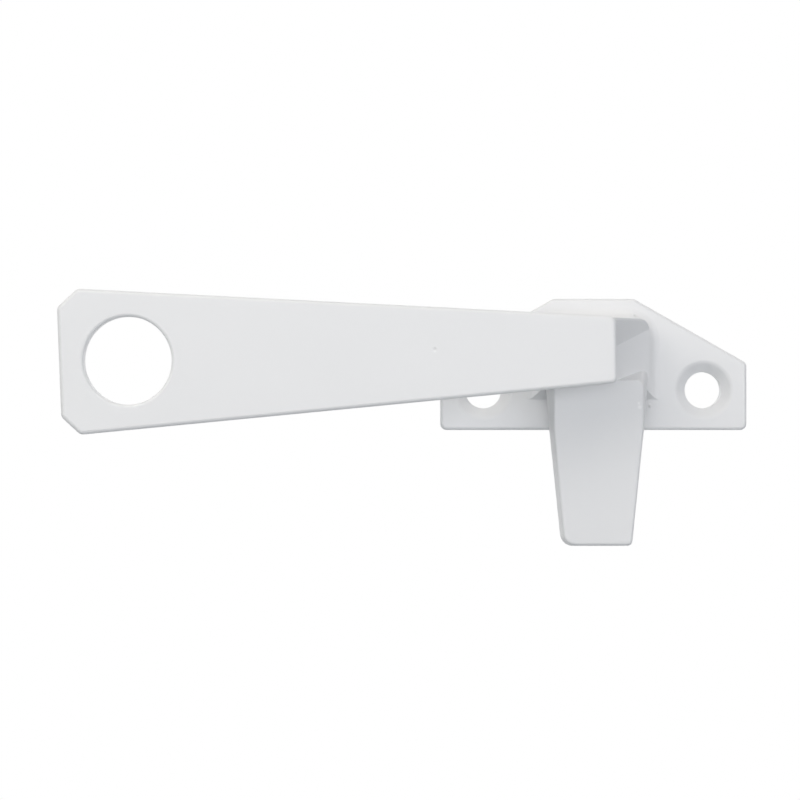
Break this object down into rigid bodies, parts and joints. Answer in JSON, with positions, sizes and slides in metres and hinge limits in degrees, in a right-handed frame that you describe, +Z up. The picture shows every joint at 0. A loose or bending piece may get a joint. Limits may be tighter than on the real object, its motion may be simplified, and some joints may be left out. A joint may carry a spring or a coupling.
{
  "type": "cam handle lock",
  "caption": "Cam handle lock for a window sash: a tapered lever with a pole hole and a cam nose, cast as one, turns on a screwed base plate.",
  "frame": {"origin": "midway between the two screw holes, on the mounting face", "axes": "+X along the line of the screw holes, away from the lever; +Y into the window frame, out of the mounting face; +Z up, away from the cam nose"},
  "size_m": [0.1175, 0.024, 0.0438],
  "materials": {
    "white_coat": "semi-gloss white powder coat on a zinc die casting",
    "plated_steel": "zinc plated",
    "acetal": "natural acetal"
  },
  "bodies": {
    "base": {"base_plate": "white_coat", "thrust_washer": "acetal", "spring_washer": "plated_steel"},
    "handle": {"handle": "white_coat", "stop_washer": "plated_steel", "retaining_screw": "plated_steel"}
  },
  "joints": [
    {"name": "handle_turn", "type": "hinge", "parent": "base", "child": "handle", "pos_m": [0, 0, 0.0064], "axis": [0, 1, 0], "range_deg": [0, 90]}
  ]
}
